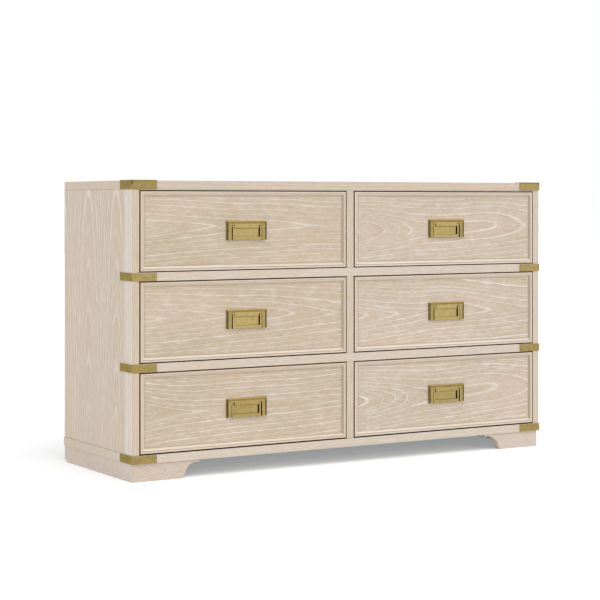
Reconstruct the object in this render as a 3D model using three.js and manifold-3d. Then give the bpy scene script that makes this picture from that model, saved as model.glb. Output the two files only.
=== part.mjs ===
// A dresser with three rows of two inset drawers, in limed oak with brass corner brackets and brass bail pulls.
// Millimetres, +Z up. The origin is on the floor, at the middle of the dresser's outer box.
import * as THREE from 'three';
import { mergeVertices } from 'three/addons/utils/BufferGeometryUtils.js';
import Module from 'manifold-3d';

const wasm = await Module();
wasm.setup();

// Layout
const rowNames = ['lower', 'middle', 'upper'];
const columnNames = ['left', 'right'];
const railNames = ['lower_rail', 'upper_rail'];

// Case, from the floor up and from the front to the back
const caseWidth = 1473;
const caseDepth = 483;
const footHeight = 51;
const baseThickness = 25.4;
const openingHeight = 236.4;
const railHeight = 25.4;
const railDepth = 60;
const topRailHeight = 2.2;
const topThickness = 25.4;
const postWidth = 23.8;
const postDepth = 53;
const stileWidth = 25.4;
const glueGap = 0.2;
const sideThickness = 19;
const backThickness = 6;
const backInset = 3;

// Feet
const footThickness = 25;
const frontFootSetback = 4;
const sideFootSetback = 1;
const footCornerRadius = 9;
const footBottomLength = 162;
const footLean = 8;
const footLeanHeight = 20;
const archRadius = 26;
const archRunOut = 21;
const mitreGap = 0.3;

// Corner brackets
const bracketLeg = 78;
const bracketThickness = 2.2;
const bracketMargin = 1;
const bracketCapThickness = 1.6;
const bracketCapWidth = 25;
const bracketEndGap = 0.3;

// Drawers
const revealGap = 3;
const frontThickness = 20;
const borderWidth = 11.3;
const panelRecess = 4;
const recessSlope = 3.5;
const drawerSideClearance = 4.6;
const boxLift = 10;
const boxTopClearance = 36.4;
const boxLength = 425;
const boxWall = 14;
const boxBottomThickness = 6;
const boxBottomRise = 12;
const grooveDepth = 7;

// Runners
const runnerHeight = 20;
const runnerLength = 400;
const runnerRise = 70;
const runnerTopClearance = 0.3;
const runnerBottomClearance = 1;
const runnerSideClearance = 1;
const runnerEndClearance = 0.3;

// Pulls
const plateWidth = 134;
const plateHeight = 56;
const plateBase = 1.4;
const rimDepth = 5.8;
const lipDepth = 7;
const lipWidth = 3;
const lipChamferDepth = 2.5;
const bailWidth = 98;
const bailThickness = 4;
const bailProud = 0.2;
const bailArmWidth = 5.7;
const bailBarHeight = 8.5;
const bailSlit = 2.2;
const bailTopGap = 0.6;
const hingeDrop = 15.5;
const bandHeight = 21;
const pinRadius = 1.2;
const pinLength = 4;
const pinClearance = 0.3;
const studRadius = 4;
const studSpacing = 96;
const studLength = 11;
const studClearance = 0.3;

// Cutting tools run past the faces they cut by this much.
const overrun = 1;
const roundSegments = 24;
const cornerSegments = 8;

// Sizes that follow from the ones above
const rows = rowNames.length;
const columns = columnNames.length;
const rowPitch = openingHeight + railHeight;
const caseBottom = footHeight + baseThickness;
const openingsTop = caseBottom + rows * rowPitch - railHeight;
const caseTop = openingsTop + topRailHeight;
const caseHeight = caseTop + topThickness;
const openingWidth = (caseWidth - 2 * postWidth - (columns - 1) * stileWidth) / columns;
const columnPitch = openingWidth + stileWidth;
const partitionLeft = postWidth + openingWidth;
const backFront = caseDepth - backInset - backThickness;
const boxHeight = openingHeight - boxLift - boxTopClearance;
const pullProud = lipDepth + glueGap - panelRecess;
const frontProud = Math.max(bracketThickness, pullProud);

const oak = new THREE.MeshStandardMaterial({ color: 0xd2c2ad, roughness: 0.62, metalness: 0 });
const postOak = new THREE.MeshStandardMaterial({ color: 0xd9cdc1, roughness: 0.62, metalness: 0 });
const boxWood = new THREE.MeshStandardMaterial({ color: 0xdcc9a6, roughness: 0.6, metalness: 0 });
const runnerWood = new THREE.MeshStandardMaterial({ color: 0xc7a878, roughness: 0.55, metalness: 0 });
const backBoard = new THREE.MeshStandardMaterial({ color: 0xc9b596, roughness: 0.75, metalness: 0 });
const brass = new THREE.MeshStandardMaterial({ color: 0xb59a5c, roughness: 0.35, metalness: 1 });

// The case group counts X from the left side's face, Y back from the front plane and Z up from the floor.
const dresser = new THREE.Group();
const caseGroup = new THREE.Group();
caseGroup.position.set(-caseWidth / 2, (frontProud - caseDepth) / 2, 0);
dresser.add(caseGroup);

function block([x0, x1], [y0, y1], [z0, z1]) {
  const geometry = new THREE.BoxGeometry(x1 - x0, y1 - y0, z1 - z0);
  return geometry.translate((x0 + x1) / 2, (y0 + y1) / 2, (z0 + z1) / 2);
}

// A block whose front and back faces are two different rectangles, with sloping sides between them.
function taperedBlock(back, front) {
  const geometry = new THREE.BoxGeometry(1, 1, 1);
  const position = geometry.attributes.position;
  for (let i = 0; i < position.count; i += 1) {
    const face = position.getY(i) > 0 ? back : front;
    const x = position.getX(i) > 0 ? face.x[1] : face.x[0];
    const z = position.getZ(i) > 0 ? face.z[1] : face.z[0];
    position.setXYZ(i, x, face.y, z);
  }
  return geometry;
}

// Rods run along X or Y, from one place on the axis to another.
function rodAlongX(radius, [x0, x1], y, z) {
  const geometry = new THREE.CylinderGeometry(radius, radius, Math.abs(x1 - x0), roundSegments);
  return geometry.rotateZ(Math.PI / 2).translate((x0 + x1) / 2, y, z);
}

function rodAlongY(radius, x, [y0, y1], z) {
  const geometry = new THREE.CylinderGeometry(radius, radius, y1 - y0, roundSegments);
  return geometry.translate(x, (y0 + y1) / 2, z);
}

function outline(points) {
  return new THREE.Shape(points.map(([u, v]) => new THREE.Vector2(u, v)));
}

function extrudedUp(shape, [z0, z1]) {
  const settings = { depth: z1 - z0, bevelEnabled: false, curveSegments: cornerSegments };
  return new THREE.ExtrudeGeometry(shape, settings).translate(0, 0, z0);
}

// The shape is drawn in X and Z, and extruded back along Y.
function extrudedBack(shape, [y0, y1]) {
  const settings = { depth: y1 - y0, bevelEnabled: false, curveSegments: cornerSegments };
  return new THREE.ExtrudeGeometry(shape, settings).rotateX(Math.PI / 2).translate(0, y1, 0);
}

function toSolid(geometry) {
  const bare = geometry.clone();
  bare.deleteAttribute('normal');
  bare.deleteAttribute('uv');
  const merged = mergeVertices(bare);
  const vertProperties = merged.attributes.position.array;
  const triVerts = Uint32Array.from(merged.index.array);
  return new wasm.Manifold(new wasm.Mesh({ numProp: 3, vertProperties, triVerts }));
}

function joined(...geometries) {
  return geometries.map(toSolid).reduce((whole, piece) => whole.add(piece));
}

function cut(whole, ...tools) {
  return tools.map(toSolid).reduce((rest, tool) => rest.subtract(tool), whole);
}

function toGeometry(solid) {
  const { vertProperties, triVerts } = solid.getMesh();
  const geometry = new THREE.BufferGeometry();
  geometry.setAttribute('position', new THREE.BufferAttribute(vertProperties, 3));
  geometry.setIndex(new THREE.BufferAttribute(triVerts, 1));
  return geometry;
}

function addPiece(group, name, geometry, material) {
  const piece = new THREE.Mesh(geometry, material);
  piece.name = name;
  group.add(piece);
}

// Places on the right-hand side of the case mirror those on the left.
function fromSide(side, x) {
  return side === 'left' ? x : caseWidth - x;
}

function span(side, x0, x1) {
  return [fromSide(side, x0), fromSide(side, x1)].sort((a, b) => a - b);
}

function rowBottom(row) {
  return caseBottom + row * rowPitch;
}

// Each cross rail lies under the row above it.
function railSpan(index) {
  return [rowBottom(index + 1) - railHeight, rowBottom(index + 1)];
}

// A piece that is glued between two others keeps a hair's breadth from both.
function fitted(low, high) {
  return [low + glueGap, high - glueGap];
}

// Top, base and back
function addPanels() {
  const whole = [0, caseWidth];
  addPiece(caseGroup, 'top_panel', block(whole, [0, caseDepth], [caseTop, caseHeight]), oak);
  const inside = fitted(sideThickness, caseWidth - sideThickness);
  const back = block(inside, [backFront, backFront + backThickness], fitted(caseBottom, caseTop));
  addPiece(caseGroup, 'back_panel', back, backBoard);

  // The base's side edges stand out in line with the brackets, which cover its front corners.
  const bracketEnd = bracketLeg + bracketEndGap;
  const base = outline([
    [0, 0],
    [caseWidth, 0],
    [caseWidth, bracketEnd],
    [caseWidth + bracketThickness, bracketEnd],
    [caseWidth + bracketThickness, caseDepth],
    [-bracketThickness, caseDepth],
    [-bracketThickness, bracketEnd],
    [0, bracketEnd],
  ]);
  addPiece(caseGroup, 'base_panel', extrudedUp(base, [footHeight, caseBottom]), oak);
}

function addSide(side) {
  const height = fitted(caseBottom, caseTop);
  const post = block(span(side, 0, postWidth), [0, postDepth], height);
  addPiece(caseGroup, `${side}_front_post`, post, postOak);
  const panel = block(span(side, 0, sideThickness), [postDepth + glueGap, caseDepth], height);
  addPiece(caseGroup, `${side}_side_panel`, panel, oak);
}

// The cross rails run from post to post, and the partition is notched round them.
function addFrame() {
  const between = fitted(postWidth, caseWidth - postWidth);
  const notchDepth = [-overrun, railDepth + glueGap];
  const notches = [];
  railNames.forEach((name, index) => {
    const [bottom, top] = railSpan(index);
    addPiece(caseGroup, name, block(between, [0, railDepth], [bottom, top]), oak);
    notches.push(block(between, notchDepth, [bottom - glueGap, top + glueGap]));
  });
  const topRail = block(between, [0, railDepth], [openingsTop, caseTop - glueGap]);
  addPiece(caseGroup, 'top_front_rail', topRail, oak);
  notches.push(block(between, notchDepth, [openingsTop - glueGap, caseTop + overrun]));

  const width = [partitionLeft, partitionLeft + stileWidth];
  const partition = toSolid(block(width, [0, backFront - glueGap], fitted(caseBottom, caseTop)));
  addPiece(caseGroup, 'center_partition', toGeometry(cut(partition, ...notches)), oak);
}

// Seen from above, a foot board ends at a mitre on the corner, whose outside is rounded.
function frontFootPlan(side) {
  const x = sideFootSetback;
  const y = frontFootSetback;
  const shoulder = footCornerRadius * (1 - Math.SQRT1_2);
  const archEnd = footBottomLength + footLean + archRadius + archRunOut;
  const plan = new THREE.Shape();
  plan.moveTo(archEnd, y);
  plan.lineTo(x + footCornerRadius, y);
  plan.absarc(x + footCornerRadius, y + footCornerRadius, footCornerRadius, -Math.PI / 2, -3 * Math.PI / 4, true);
  plan.lineTo(x + shoulder, y + shoulder);
  plan.lineTo(x + footThickness, y + footThickness);
  plan.lineTo(archEnd, y + footThickness);
  const points = plan.getPoints(cornerSegments).map((p) => [fromSide(side, p.x), p.y]);
  return outline(points);
}

function addFrontFoot(side) {
  const leanEnd = footBottomLength + footLean;
  const archEnd = leanEnd + archRadius;
  const profile = new THREE.Shape();
  profile.moveTo(0, 0);
  profile.lineTo(footBottomLength, 0);
  profile.lineTo(leanEnd, footLeanHeight);
  profile.absarc(archEnd, footLeanHeight, archRadius, Math.PI, Math.PI / 2, true);
  profile.lineTo(archEnd + archRunOut, footLeanHeight + archRadius);
  profile.lineTo(archEnd + archRunOut, footHeight);
  profile.lineTo(0, footHeight);
  const mirrored = outline(profile.getPoints(cornerSegments).map((p) => [fromSide(side, p.x), p.y]));
  const board = toSolid(extrudedBack(mirrored, [0, frontFootSetback + footThickness + overrun]));
  const plan = toSolid(extrudedUp(frontFootPlan(side), [0, footHeight - glueGap]));
  addPiece(caseGroup, `${side}_front_foot`, toGeometry(board.intersect(plan)), oak);
}

function addSideFoot(side) {
  const x = sideFootSetback;
  const y = frontFootSetback + mitreGap * Math.SQRT2;
  const shoulder = footCornerRadius * (1 - Math.SQRT1_2);
  const plan = new THREE.Shape();
  plan.moveTo(x + footThickness, y + footThickness);
  plan.lineTo(x + shoulder, y + shoulder);
  plan.absarc(x + footCornerRadius, y + footCornerRadius, footCornerRadius, -3 * Math.PI / 4, -Math.PI, true);
  plan.lineTo(x, caseDepth);
  plan.lineTo(x + footThickness, caseDepth);
  const points = plan.getPoints(cornerSegments).map((p) => [fromSide(side, p.x), p.y]);
  addPiece(caseGroup, `${side}_side_foot`, extrudedUp(outline(points), [0, footHeight - glueGap]), oak);
}

function addBackFoot() {
  const inner = sideFootSetback + footThickness;
  const depth = [caseDepth - footThickness, caseDepth];
  const board = block(fitted(inner, caseWidth - inner), depth, [0, footHeight - glueGap]);
  addPiece(caseGroup, 'back_foot', board, oak);
}

// In plan a bracket is an L of sheet brass round the case's front corner.
function bracketPlan(side, inner) {
  const outer = -bracketThickness;
  const points = [[outer, outer], [bracketLeg, outer], [bracketLeg, inner], [inner, inner], [inner, bracketLeg],
    [outer, bracketLeg]];
  return outline(points.map(([x, y]) => [fromSide(side, x), y]));
}

function addBrackets(side) {
  const wall = bracketPlan(side, -glueGap);
  const levels = [['base', [footHeight, caseBottom]], ...railNames.map((name, index) => [name, railSpan(index)])];
  for (const [level, [bottom, top]] of levels) {
    const height = [bottom + bracketMargin, top - bracketMargin];
    addPiece(caseGroup, `${side}_${level}_bracket`, extrudedUp(wall, height), brass);
  }
  const capTop = caseHeight + bracketCapThickness;
  const upright = extrudedUp(wall, [caseTop + bracketMargin, capTop]);
  const cap = extrudedUp(bracketPlan(side, bracketCapWidth), [caseHeight + glueGap, capTop]);
  addPiece(caseGroup, `${side}_top_bracket`, toGeometry(joined(upright, cap)), brass);
}

// A drawer's group counts from its opening: X from the left, Y back from the front plane, Z up from the bottom.
function addDrawerFront(group, name) {
  const width = [revealGap, openingWidth - revealGap];
  const height = [revealGap, openingHeight - revealGap];
  const inset = ([low, high], by) => [low + by, high - by];
  const front = toSolid(block(width, [0, frontThickness], height));
  const recess = taperedBlock(
    { x: inset(width, borderWidth + recessSlope), y: panelRecess, z: inset(height, borderWidth + recessSlope) },
    { x: inset(width, borderWidth), y: 0, z: inset(height, borderWidth) },
  );
  const mouth = block(inset(width, borderWidth), [-overrun, 0], inset(height, borderWidth));
  const studEnd = panelRecess + studLength + studClearance;
  const holes = [-1, 1].map((hand) => rodAlongY(
    studRadius + studClearance,
    openingWidth / 2 + hand * studSpacing / 2,
    [0, studEnd],
    openingHeight / 2,
  ));
  addPiece(group, `${name}_drawer_front`, toGeometry(cut(front, recess, mouth, ...holes)), oak);
}

function addDrawerBox(group, name) {
  const left = drawerSideClearance;
  const right = openingWidth - drawerSideClearance;
  const frontY = frontThickness + glueGap;
  const backY = frontThickness + boxLength;
  const bottom = boxLift;
  const box = toSolid(block([left, right], [frontY, backY], [bottom, bottom + boxHeight]));
  const inside = [left + boxWall, right - boxWall];
  const length = [frontY + boxWall, backY - boxWall];
  const floorBottom = bottom + boxBottomRise;
  const cavity = block(inside, length, [floorBottom + boxBottomThickness, bottom + boxHeight + overrun]);
  const under = block(inside, length, [bottom - overrun, floorBottom]);
  const grooveHeight = [runnerRise - runnerBottomClearance, runnerRise + runnerHeight + runnerTopClearance];
  const grooveRun = [postDepth - runnerEndClearance, backY + overrun];
  const leftGroove = block([left - overrun, left + grooveDepth], grooveRun, grooveHeight);
  const rightGroove = block([right - grooveDepth, right + overrun], grooveRun, grooveHeight);
  addPiece(group, `${name}_drawer_box`, toGeometry(cut(box, cavity, under, leftGroove, rightGroove)), boxWood);
}

// A pull's group counts from the plate's bottom middle, with Y back from its seat on the drawer front.
function addPlate(group, name) {
  const half = plateWidth / 2;
  const outer = { x: [-half, half], z: [0, plateHeight] };
  const inner = { x: [lipWidth - half, half - lipWidth], z: [0, plateHeight - lipWidth] };
  const chamferFoot = lipChamferDepth - lipDepth;
  const body = joined(
    block(outer.x, [chamferFoot, 0], outer.z),
    taperedBlock({ ...outer, y: chamferFoot }, { ...inner, y: -lipDepth }),
    ...studs(),
  );
  const faceDrop = block(inner.x, [-lipDepth - overrun, -rimDepth], [-overrun, inner.z[1]]);
  const recessHalf = bailWidth / 2 + bailSlit;
  const recessTop = plateHeight - hingeDrop + bailThickness / 2 + bailTopGap;
  const recessDepth = [-lipDepth - overrun, -plateBase];
  const recess = block([-recessHalf, recessHalf], recessDepth, [-overrun, recessTop]);
  const holeReach = recessHalf + pinLength + pinClearance;
  const holes = rodAlongX(pinRadius + pinClearance, [-holeReach, holeReach], hingeDepth(), hingeHeight());
  const bandHalf = recessHalf - bailArmWidth - 2 * bailSlit;
  const band = block([-bandHalf, bandHalf], [-rimDepth, 0], [plateHeight - bandHeight, recessTop]);
  const plate = cut(body, faceDrop, recess, holes).add(toSolid(band));
  addPiece(group, `${name}_pull_plate`, toGeometry(plate), brass);
}

// Two studs on the plate's back hold it in the drawer front.
function studs() {
  return [-1, 1].map((hand) => rodAlongY(studRadius, hand * studSpacing / 2, [-plateBase, studLength], plateHeight / 2));
}

function hingeHeight() {
  return plateHeight - hingeDrop;
}

function hingeDepth() {
  return bailThickness / 2 - rimDepth - bailProud;
}

// The bail is a flat U that hangs in the plate's recess on two pins.
function addBail(group, name) {
  const half = bailWidth / 2;
  const depth = [-rimDepth - bailProud, bailThickness - rimDepth - bailProud];
  const armInner = half - bailArmWidth;
  const pinEnd = half + bailSlit + pinLength;
  const pieces = [block([-half, half], depth, [0, bailBarHeight])];
  for (const hand of [-1, 1]) {
    const arm = [hand * armInner, hand * half].sort((a, b) => a - b);
    const pin = [hand * (half - bailArmWidth / 2), hand * pinEnd];
    pieces.push(block(arm, depth, [0, hingeHeight()]));
    pieces.push(rodAlongX(bailThickness / 2, arm, hingeDepth(), hingeHeight()));
    pieces.push(rodAlongX(pinRadius, pin, hingeDepth(), hingeHeight()));
  }
  addPiece(group, `${name}_pull_bail`, toGeometry(joined(...pieces)), brass);
}

// Runners are fixed to the case beside each opening, and run in grooves in the drawer's sides.
function addRunners(group, name, column) {
  const reach = drawerSideClearance + grooveDepth - runnerSideClearance;
  const wallGap = postWidth - sideThickness;
  const leftStart = column === 0 ? -wallGap : 0;
  const rightEnd = openingWidth + (column === columns - 1 ? wallGap : 0);
  const run = [postDepth + glueGap, postDepth + runnerLength];
  const height = [runnerRise, runnerRise + runnerHeight];
  addPiece(group, `${name}_runner_left`, block([leftStart + glueGap, reach], run, height), runnerWood);
  addPiece(group, `${name}_runner_right`, block([openingWidth - reach, rightEnd - glueGap], run, height), runnerWood);
}

addPanels();
addFrame();
addBackFoot();
for (const side of columnNames) {
  addSide(side);
  addFrontFoot(side);
  addSideFoot(side);
  addBrackets(side);
}
rowNames.forEach((rowName, row) => {
  columnNames.forEach((columnName, column) => {
    const name = `${rowName}_${columnName}`;
    const opening = new THREE.Group();
    opening.position.set(postWidth + column * columnPitch, 0, rowBottom(row));
    caseGroup.add(opening);
    addDrawerFront(opening, name);
    addDrawerBox(opening, name);
    addRunners(opening, name, column);
    const pull = new THREE.Group();
    pull.position.set(openingWidth / 2, panelRecess - glueGap, (openingHeight - plateHeight) / 2);
    opening.add(pull);
    addPlate(pull, name);
    addBail(pull, name);
  });
});

export default dresser;
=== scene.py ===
import math

import bpy
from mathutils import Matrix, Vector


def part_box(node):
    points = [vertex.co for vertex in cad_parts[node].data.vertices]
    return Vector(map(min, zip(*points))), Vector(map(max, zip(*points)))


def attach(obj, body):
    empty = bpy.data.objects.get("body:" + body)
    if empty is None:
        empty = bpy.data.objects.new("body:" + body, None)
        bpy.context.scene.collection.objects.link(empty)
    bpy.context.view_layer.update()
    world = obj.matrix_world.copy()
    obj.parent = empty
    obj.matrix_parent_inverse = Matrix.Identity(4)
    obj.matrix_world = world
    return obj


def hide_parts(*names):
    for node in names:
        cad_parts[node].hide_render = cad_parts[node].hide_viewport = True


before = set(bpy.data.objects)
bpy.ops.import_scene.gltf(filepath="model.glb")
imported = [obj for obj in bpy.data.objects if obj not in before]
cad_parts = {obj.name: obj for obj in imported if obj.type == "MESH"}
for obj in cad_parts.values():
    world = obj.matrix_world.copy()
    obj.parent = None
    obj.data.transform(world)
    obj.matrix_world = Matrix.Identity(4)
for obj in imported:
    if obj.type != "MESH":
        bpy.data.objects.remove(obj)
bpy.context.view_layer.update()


# Side panels: boards of 19 mm faced with oak veneer, rubbed with white lime and matt varnished.
# Two leaves of one flitch lie side by side, grain upright, so each leaf shows its own spearheads.
# They are glued behind the front posts, between the base panel and the top.

def colour(hexcode):
    """An sRGB hex colour as the linear values that a shader takes."""
    parts = [int(hexcode[i:i + 2], 16) / 255 for i in (1, 3, 5)]
    return [c / 12.92 if c <= 0.04045 else ((c + 0.055) / 1.055) ** 2.4 for c in parts] + [1.0]


def add_node(tree, kind, inputs=None, **settings):
    """A node with its settings, and its inputs by name or place: a socket is linked, a value is set."""
    node = tree.nodes.new(kind)
    for key, value in settings.items():
        setattr(node, key, value)
    for key, value in (inputs or {}).items():
        if isinstance(value, bpy.types.NodeSocket):
            tree.links.new(value, node.inputs[key])
        else:
            node.inputs[key].default_value = value
    return node


def new_tree(owner):
    """The node tree of a material or of the world, emptied."""
    owner.use_nodes = True
    owner.node_tree.nodes.clear()
    return owner.node_tree


def draw_curve(node, points):
    """Lays a Float Curve node's line through points from 0 to 1 each way."""
    curve = node.mapping.curves[0]
    for place, value in points[1:-1]:
        curve.points.new(place, value)
    curve.points[0].location = points[0]
    curve.points[-1].location = points[-1]
    for point in curve.points:
        point.handle_type = "AUTO_CLAMPED"
    node.mapping.update()


# The heart's path is drawn in shares of this length.
HEART_REACH = 0.1
# Rings get wider outwards: at this radius they are four times as wide as at the heart.
RING_GROWTH = 0.3
# How far the painted shade reaches in from a sunk panel's rim.
RIM_SHADE_WIDTH = 0.0062


def limed_oak(name, grain, heart, face, run, depth=((0, 0.55), (1, 0.65)), sway=((0, 0.5), (1, 0.5)),
              leaf=0.0, ring=0.0065, seed=0.0, ground="#CFBCA2", late="#B9A587", lime="#EAE2DA",
              figure=1.0, drift=0.5, wander=0.009, even=0.5, band=0.15, fine=300.0, bow=1.4, tips=0.8,
              edge=None, sheen=0.5, dash=25.0, haze=0.0):
    """Limed oak. grain names the axes along the grain, across it and into the board. heart is where
    the middle of the tree lies across the grain, and face the board's face. depth says how deep under
    the face it lies, from 0 to 100 mm, and sway how far it wanders to a side, from -50 to 50 mm, both
    along the run. Where the depth grows, the rings close into spearheads that point that way: bow is
    2 for round rings and less for sharper points, and tips is how white they are. leaf is the width of
    a leaf of veneer, ring that of a year near the heart, and band the part of it that is early wood,
    with its wide pores. figure, drift, wander and haze are how strong the rings, the changes of tone,
    the bends and the patches of lime between the rings are, and even is the least share of lime that a
    year gets. dash and fine count the pores in a metre along and across. edge is the low and high
    corner of a sunk panel, whose rim is painted darker as the shade that its moulding casts."""
    material = bpy.data.materials.new(name)
    tree = new_tree(material)
    place = add_node(tree, "ShaderNodeTexCoord").outputs["Object"]
    axes = add_node(tree, "ShaderNodeSeparateXYZ", {0: place}).outputs
    along, across, into = (axes[letter] for letter in grain)

    # The heart's path along the board.
    part = add_node(tree, "ShaderNodeMapRange", {0: along, 1: run[0], 2: run[1]}).outputs[0]
    deep_line = add_node(tree, "ShaderNodeFloatCurve", {"Value": part})
    draw_curve(deep_line, depth)
    side_line = add_node(tree, "ShaderNodeFloatCurve", {"Value": part})
    draw_curve(side_line, sway)
    aside = add_node(tree, "ShaderNodeMath",
                     {0: side_line.outputs[0], 1: HEART_REACH, 2: heart - HEART_REACH / 2},
                     operation="MULTIPLY_ADD").outputs[0]
    off = add_node(tree, "ShaderNodeMath", {0: across, 1: aside}, operation="SUBTRACT").outputs[0]
    if leaf:
        off = add_node(tree, "ShaderNodeMath", {0: off, 1: leaf / 2, 2: -leaf / 2},
                       operation="WRAP").outputs[0]
    inward = add_node(tree, "ShaderNodeMath", {0: into, 1: face}, operation="SUBTRACT").outputs[0]
    inward = add_node(tree, "ShaderNodeMath", {0: inward}, operation="ABSOLUTE").outputs[0]
    deep = add_node(tree, "ShaderNodeMath", {0: deep_line.outputs[0], 1: HEART_REACH, 2: inward},
                    operation="MULTIPLY_ADD").outputs[0]

    # The tree grew unevenly: waves of 250 mm along the grain by 70 mm across it, and on them
    # ripples of 50 by 20 mm, which bend the rings by up to 3 mm.
    def stretched(long, wide, shift):
        """The place, counted in spots of noise: long and wide are how many lie in a metre."""
        return add_node(tree, "ShaderNodeCombineXYZ", {
            0: add_node(tree, "ShaderNodeMath", {0: along, 1: long, 2: shift},
                        operation="MULTIPLY_ADD").outputs[0],
            1: add_node(tree, "ShaderNodeMath", {0: across, 1: wide}, operation="MULTIPLY").outputs[0],
            2: add_node(tree, "ShaderNodeMath", {0: into, 1: wide}, operation="MULTIPLY").outputs[0],
        }).outputs[0]

    waves = stretched(4.0, 14.0, seed)
    uneven = add_node(tree, "ShaderNodeTexNoise",
                      {"Vector": waves, "Scale": 1.0, "Detail": 1.0, "Roughness": 0.4}).outputs["Fac"]
    ripple = add_node(tree, "ShaderNodeTexNoise", {
        "Vector": stretched(20.0, 50.0, seed * 3), "Scale": 1.0, "Detail": 1.0}).outputs["Fac"]
    bent = add_node(tree, "ShaderNodeMath", {0: uneven, 1: wander, 2: -wander / 2},
                    operation="MULTIPLY_ADD").outputs[0]
    bent = add_node(tree, "ShaderNodeMath", {0: ripple, 1: 0.003, 2: bent},
                    operation="MULTIPLY_ADD").outputs[0]
    off = add_node(tree, "ShaderNodeMath", {0: off, 1: bent}, operation="ADD").outputs[0]
    off = add_node(tree, "ShaderNodeMath", {0: off}, operation="ABSOLUTE").outputs[0]
    wide = add_node(tree, "ShaderNodeMath", {0: off, 1: bow}, operation="POWER").outputs[0]
    radius = add_node(tree, "ShaderNodeMath", {0: deep, 1: bow}, operation="POWER").outputs[0]
    radius = add_node(tree, "ShaderNodeMath", {0: radius, 1: wide}, operation="ADD").outputs[0]
    radius = add_node(tree, "ShaderNodeMath", {0: radius, 1: 1 / bow}, operation="POWER").outputs[0]
    # How steeply the board cuts the rings: it cuts them flat at the points.
    steep = add_node(tree, "ShaderNodeMath", {0: off, 1: radius}, operation="DIVIDE").outputs[0]
    steep = add_node(tree, "ShaderNodeMapRange", {0: steep, 1: 0.0, 2: 0.3, 3: tips, 4: 1.0}).outputs[0]
    radius = add_node(tree, "ShaderNodeMath", {0: bent, 1: 0.25, 2: radius},
                      operation="MULTIPLY_ADD").outputs[0]

    # Rings of about 6 mm near the heart and 11 mm where they are 100 mm out, some years wide and some
    # narrow, each with its own share of lime.
    wider = add_node(tree, "ShaderNodeMath", {0: radius, 1: 1 / RING_GROWTH, 2: 1.0},
                     operation="MULTIPLY_ADD").outputs[0]
    radius = add_node(tree, "ShaderNodeMath", {0: radius, 1: wider}, operation="DIVIDE").outputs[0]
    years = add_node(tree, "ShaderNodeTexNoise", {
        "W": add_node(tree, "ShaderNodeMath", {0: radius, 1: 0.4 / ring, 2: seed},
                      operation="MULTIPLY_ADD").outputs[0],
        "Scale": 1.0, "Detail": 0.0,
    }, noise_dimensions="1D").outputs["Fac"]
    count = add_node(tree, "ShaderNodeMath", {0: radius, 1: 1 / ring, 2: years},
                     operation="MULTIPLY_ADD").outputs[0]
    within = add_node(tree, "ShaderNodeMath", {0: count}, operation="FRACT").outputs[0]
    year = add_node(tree, "ShaderNodeMath", {0: count}, operation="FLOOR").outputs[0]
    luck = add_node(tree, "ShaderNodeTexWhiteNoise", {
        "W": add_node(tree, "ShaderNodeMath", {0: year, 1: seed * 1.7}, operation="ADD").outputs[0],
    }, noise_dimensions="1D").outputs["Value"]
    strong = add_node(tree, "ShaderNodeMapRange", {0: luck, 1: 0.0, 2: 1.0, 3: even, 4: 1.0}).outputs[0]
    early = add_node(tree, "ShaderNodeFloatCurve", {"Value": within})
    draw_curve(early, ((0, 0.0), (0.15 * band, 1.0), (band * 0.8, 0.95), (band * 1.2, 0.05), (1, 0.0)))
    hard = add_node(tree, "ShaderNodeFloatCurve", {"Value": within})
    draw_curve(hard, ((0, 0.3), (0.03, 0.0), (0.72, 0.05), (0.93, 1.0), (1, 0.8)))

    # Lime fills the open pores of the early wood, and some of it lies as dust in the other pores or
    # in patches between them. A pore is a dash of about 30 by 0.3 mm: drawn 2 to 3 mm wide here,
    # because a finer one is lost at this size of picture.
    dashes = add_node(tree, "ShaderNodeTexNoise", {
        "Vector": stretched(dash, fine, seed), "Scale": 1.0, "Detail": 2.0, "Roughness": 0.6}).outputs["Fac"]
    filled = add_node(tree, "ShaderNodeMapRange", {0: dashes, 1: 0.38, 2: 0.62, 3: 0.62, 4: 1.0}).outputs[0]
    fade = add_node(tree, "ShaderNodeMapRange", {0: ripple, 1: 0.3, 2: 0.6, 3: 0.55, 4: 1.0}).outputs[0]
    limed = early.outputs[0]
    for share in (strong, steep, filled, fade, figure):
        limed = add_node(tree, "ShaderNodeMath", {0: limed, 1: share}, operation="MULTIPLY").outputs[0]
    dusty = add_node(tree, "ShaderNodeMapRange", {0: dashes, 1: 0.5, 2: 0.75, 3: 0.0, 4: 0.3}).outputs[0]
    white = add_node(tree, "ShaderNodeMath", {0: limed, 1: dusty}, operation="MAXIMUM").outputs[0]
    hazy = add_node(tree, "ShaderNodeMapRange", {0: ripple, 1: 0.46, 2: 0.68, 3: 0.0, 4: haze}).outputs[0]
    white = add_node(tree, "ShaderNodeMath", {0: white, 1: hazy}, operation="ADD",
                     use_clamp=True).outputs[0]

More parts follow.
